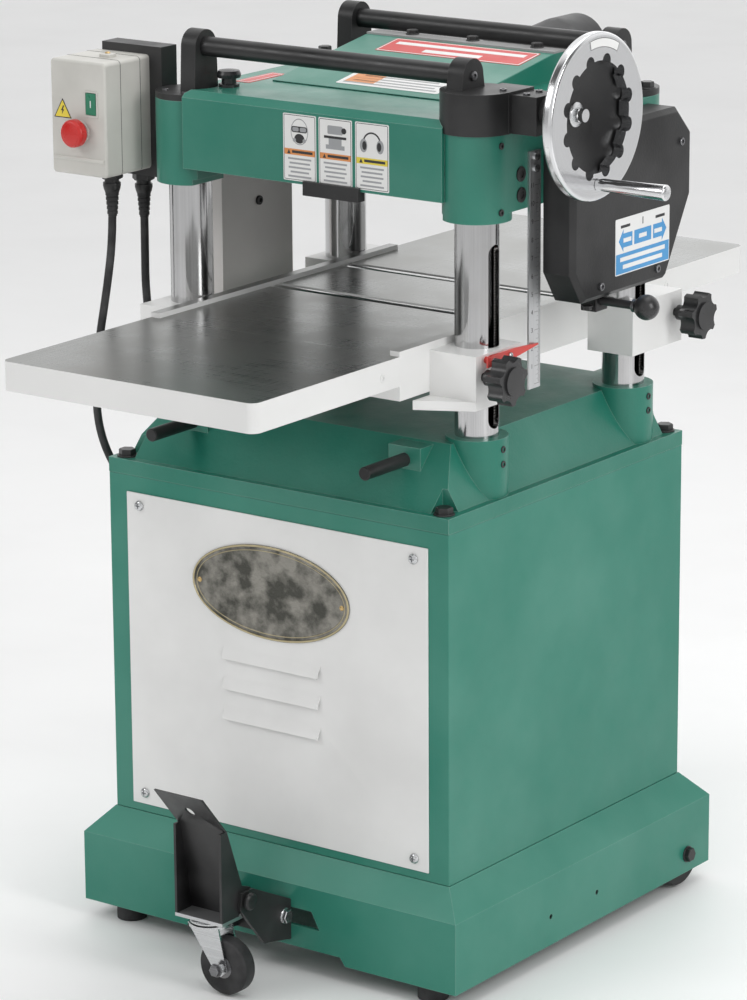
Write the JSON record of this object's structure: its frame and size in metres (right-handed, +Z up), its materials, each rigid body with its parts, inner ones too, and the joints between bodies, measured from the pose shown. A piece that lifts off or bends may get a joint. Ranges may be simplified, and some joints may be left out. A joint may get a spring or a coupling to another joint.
{
  "type": "thickness planer",
  "caption": "Floor-standing thickness planer with four-column lifting table, extension wings, handwheel and a mobile base with a swivel caster.",
  "frame": {"origin": "centre of the rectangle of the four feet, on the floor", "axes": "+X towards the handwheel and gearbox, +Y along the feed direction from infeed to outfeed, +Z up"},
  "size_m": [0.953, 1.2275, 1.3498],
  "materials": {
    "green_casting": "satin green enamel on cast iron",
    "green_sheet": "satin green enamel on sheet steel",
    "white_paint": "satin white enamel",
    "black_paint": "satin black enamel",
    "red_paint": "gloss red enamel",
    "grey_paint": "light grey enamel",
    "ground_iron": "ground",
    "polished_steel": "polished",
    "dark_steel": "oiled",
    "chrome": "chromed",
    "zinc": "bright zinc",
    "scale_aluminium": "satin",
    "black_plastic": "matt",
    "grey_plastic": "matt",
    "green_plastic": "gloss",
    "red_plastic": "gloss",
    "black_rubber": "matt"
  },
  "bodies": {
    "frame": {"access_panel": "white_paint", "base_plinth": "green_sheet", "belt_guard": "grey_paint", "cabinet": "green_sheet", "cable_glands": "black_plastic", "chip_breaker": "dark_steel", "column_front_left": "polished_steel", "column_front_right": "polished_steel", "column_rear_left": "polished_steel", "column_rear_right": "polished_steel", "depth_limiter": "black_paint", "depth_scale": "scale_aluminium", "dust_hood": "black_plastic", "gear_cap": "black_paint", "gearbox_cover": "black_paint", "head_casting": "green_casting", "hinge_bracket": "black_paint", "levelling_feet": "black_rubber", "lift_chain": "dark_steel", "lower_casting": "green_casting", "motor": "dark_steel", "motor_lead": "black_rubber", "roller_stands": "black_paint", "supply_coil": "black_rubber", "supply_lead": "black_rubber", "supply_plug": "black_rubber", "switch_box": "grey_plastic", "top_cover": "green_sheet"},
    "table": {"table": "ground_iron", "infeed_wing": "ground_iron", "outfeed_wing": "ground_iron", "depth_pointer": "red_paint"},
    "bed_roller_front": {"bed_roller_front": "polished_steel"},
    "bed_roller_rear": {"bed_roller_rear": "polished_steel"},
    "lock_knob_front": {"lock_knob_front": "black_plastic"},
    "lock_knob_rear": {"lock_knob_rear": "black_plastic"},
    "handwheel": {"handwheel": "chrome"},
    "handle": {"handwheel_handle": "chrome"},
    "screw_front_left": {"lead_screw_front_left": "dark_steel"},
    "screw_front_right": {"lead_screw_front_right": "dark_steel"},
    "screw_rear_left": {"lead_screw_rear_left": "dark_steel"},
    "screw_rear_right": {"lead_screw_rear_right": "dark_steel"},
    "cutterhead": {"cutterhead": "dark_steel", "cutterhead_pulley": "dark_steel"},
    "motor_shaft": {"motor_pulley": "dark_steel"},
    "infeed_roller": {"infeed_roller": "dark_steel"},
    "outfeed_roller": {"outfeed_roller": "polished_steel"},
    "kickback_fingers": {"kickback_fingers": "dark_steel"},
    "return_roller_front": {"return_roller_front": "black_plastic"},
    "return_roller_rear": {"return_roller_rear": "black_plastic"},
    "shift_rod": {"shift_rod": "black_plastic"},
    "start_button": {"start_button": "green_plastic"},
    "stop_button": {"stop_button": "red_plastic"},
    "foot_lever": {"foot_lever": "black_paint"},
    "caster_fork": {"caster_fork": "zinc"},
    "caster_wheel": {"caster_wheel": "black_rubber"},
    "rear_wheel_left": {"rear_wheel_left": "black_rubber"},
    "rear_wheel_right": {"rear_wheel_right": "black_rubber"},
    "lifting_bar_left": {"lifting_bar_front_left": "black_paint"},
    "lifting_bar_right": {"lifting_bar_front_right": "black_paint"}
  },
  "joints": [
    {"name": "handwheel_turn", "type": "hinge", "parent": "frame", "child": "handwheel", "pos_m": [0.4, -0.127, 1.2358], "axis": [1, 0, 0], "range_deg": [-2448, 15408]},
    {"name": "table_lift", "type": "slide", "parent": "frame", "child": "table", "axis": [0, 0, 1], "range_m": [-0.0273, 0.1713]},
    {"name": "handle_spin", "type": "hinge", "parent": "handwheel", "child": "handle", "pos_m": [0.48, -0.127, 1.1448], "axis": [1, 0, 0], "continuous": true},
    {"name": "cutterhead_spin", "type": "hinge", "parent": "frame", "child": "cutterhead", "pos_m": [0, 0.06, 1.126], "axis": [1, 0, 0], "continuous": true},
    {"name": "motor_spin", "type": "hinge", "parent": "frame", "child": "motor_shaft", "pos_m": [-0.3, 0.06, 0.3], "axis": [1, 0, 0], "continuous": true},
    {"name": "infeed_roller_turn", "type": "hinge", "parent": "frame", "child": "infeed_roller", "pos_m": [0, -0.027, 1.1155], "axis": [1, 0, 0], "continuous": true},
    {"name": "outfeed_roller_turn", "type": "hinge", "parent": "frame", "child": "outfeed_roller", "pos_m": [0, 0.147, 1.1155], "axis": [1, 0, 0], "continuous": true},
    {"name": "bed_roller_front_turn", "type": "hinge", "parent": "table", "child": "bed_roller_front", "pos_m": [0, -0.027, 0.9004], "axis": [1, 0, 0], "continuous": true},
    {"name": "bed_roller_rear_turn", "type": "hinge", "parent": "table", "child": "bed_roller_rear", "pos_m": [0, 0.147, 0.9004], "axis": [1, 0, 0], "continuous": true},
    {"name": "return_roller_front_turn", "type": "hinge", "parent": "frame", "child": "return_roller_front", "pos_m": [0, -0.16, 1.2788], "axis": [1, 0, 0], "continuous": true},
    {"name": "return_roller_rear_turn", "type": "hinge", "parent": "frame", "child": "return_roller_rear", "pos_m": [0, 0.212, 1.2718], "axis": [1, 0, 0], "continuous": true},
    {"name": "kickback_finger_swing", "type": "hinge", "parent": "frame", "child": "kickback_fingers", "pos_m": [0, -0.101, 1.15], "axis": [1, 0, 0], "range_deg": [0, 30]},
    {"name": "speed_shift", "type": "slide", "parent": "frame", "child": "shift_rod", "axis": [1, 0, 0], "range_m": [-0.012, 0.012]},
    {"name": "lock_front_turn", "type": "hinge", "parent": "table", "child": "lock_knob_front", "pos_m": [0.31, -0.208, 0.8772], "axis": [1, 0, 0], "range_deg": [0, 360]},
    {"name": "lock_rear_turn", "type": "hinge", "parent": "table", "child": "lock_knob_rear", "pos_m": [0.31, 0.282, 0.8772], "axis": [1, 0, 0], "range_deg": [0, 360]},
    {"name": "start_press", "type": "slide", "parent": "frame", "child": "start_button", "axis": [0, 1, 0], "range_m": [0, 0.004], "stiffness_N_per_m": 600},
    {"name": "stop_press", "type": "slide", "parent": "frame", "child": "stop_button", "axis": [0, 1, 0], "range_m": [0, 0.007], "stiffness_N_per_m": 600},
    {"name": "foot_lever_press", "type": "hinge", "parent": "frame", "child": "foot_lever", "pos_m": [0, -0.433, 0.135], "axis": [1, 0, 0], "range_deg": [0, 12]},
    {"name": "caster_swivel", "type": "hinge", "parent": "foot_lever", "child": "caster_fork", "pos_m": [0, -0.457, 0.08], "axis": [0, 0, 1], "continuous": true},
    {"name": "caster_roll", "type": "hinge", "parent": "caster_fork", "child": "caster_wheel", "pos_m": [0.03, -0.457, 0.043], "axis": [0, 1, 0], "continuous": true},
    {"name": "rear_wheel_left_roll", "type": "hinge", "parent": "frame", "child": "rear_wheel_left", "pos_m": [-0.313, 0.272, 0.053], "axis": [1, 0, 0], "continuous": true},
    {"name": "rear_wheel_right_roll", "type": "hinge", "parent": "frame", "child": "rear_wheel_right", "pos_m": [0.313, 0.272, 0.053], "axis": [1, 0, 0], "continuous": true},
    {"name": "lifting_bar_left_slide", "type": "slide", "parent": "frame", "child": "lifting_bar_left", "axis": [0, 1, 0], "range_m": [0, 0.08]},
    {"name": "lifting_bar_right_slide", "type": "slide", "parent": "frame", "child": "lifting_bar_right", "axis": [0, 1, 0], "range_m": [0, 0.08]},
    {"name": "screw_front_left_turn", "type": "hinge", "parent": "frame", "child": "screw_front_left", "pos_m": [-0.249, -0.16, 0.9], "axis": [0, 0, 1], "range_deg": [-2468, 15428]},
    {"name": "screw_front_right_turn", "type": "hinge", "parent": "frame", "child": "screw_front_right", "pos_m": [0.249, -0.16, 0.9], "axis": [0, 0, 1], "range_deg": [-2468, 15428]},
    {"name": "screw_rear_left_turn", "type": "hinge", "parent": "frame", "child": "screw_rear_left", "pos_m": [-0.249, 0.212, 0.9], "axis": [0, 0, 1], "range_deg": [-2468, 15428]},
    {"name": "screw_rear_right_turn", "type": "hinge", "parent": "frame", "child": "screw_rear_right", "pos_m": [0.249, 0.212, 0.9], "axis": [0, 0, 1], "range_deg": [-2468, 15428]}
  ],
  "couplings": [
    {"joint": "table_lift", "follows": "handwheel_turn", "m_per_rad": 0.00063662},
    {"joint": "screw_front_left_turn", "follows": "handwheel_turn", "ratio": 1},
    {"joint": "screw_front_right_turn", "follows": "handwheel_turn", "ratio": 1},
    {"joint": "screw_rear_left_turn", "follows": "handwheel_turn", "ratio": 1},
    {"joint": "screw_rear_right_turn", "follows": "handwheel_turn", "ratio": 1},
    {"joint": "motor_spin", "follows": "cutterhead_spin", "ratio": 0.73077},
    {"joint": "outfeed_roller_turn", "follows": "infeed_roller_turn", "ratio": 1}
  ]
}
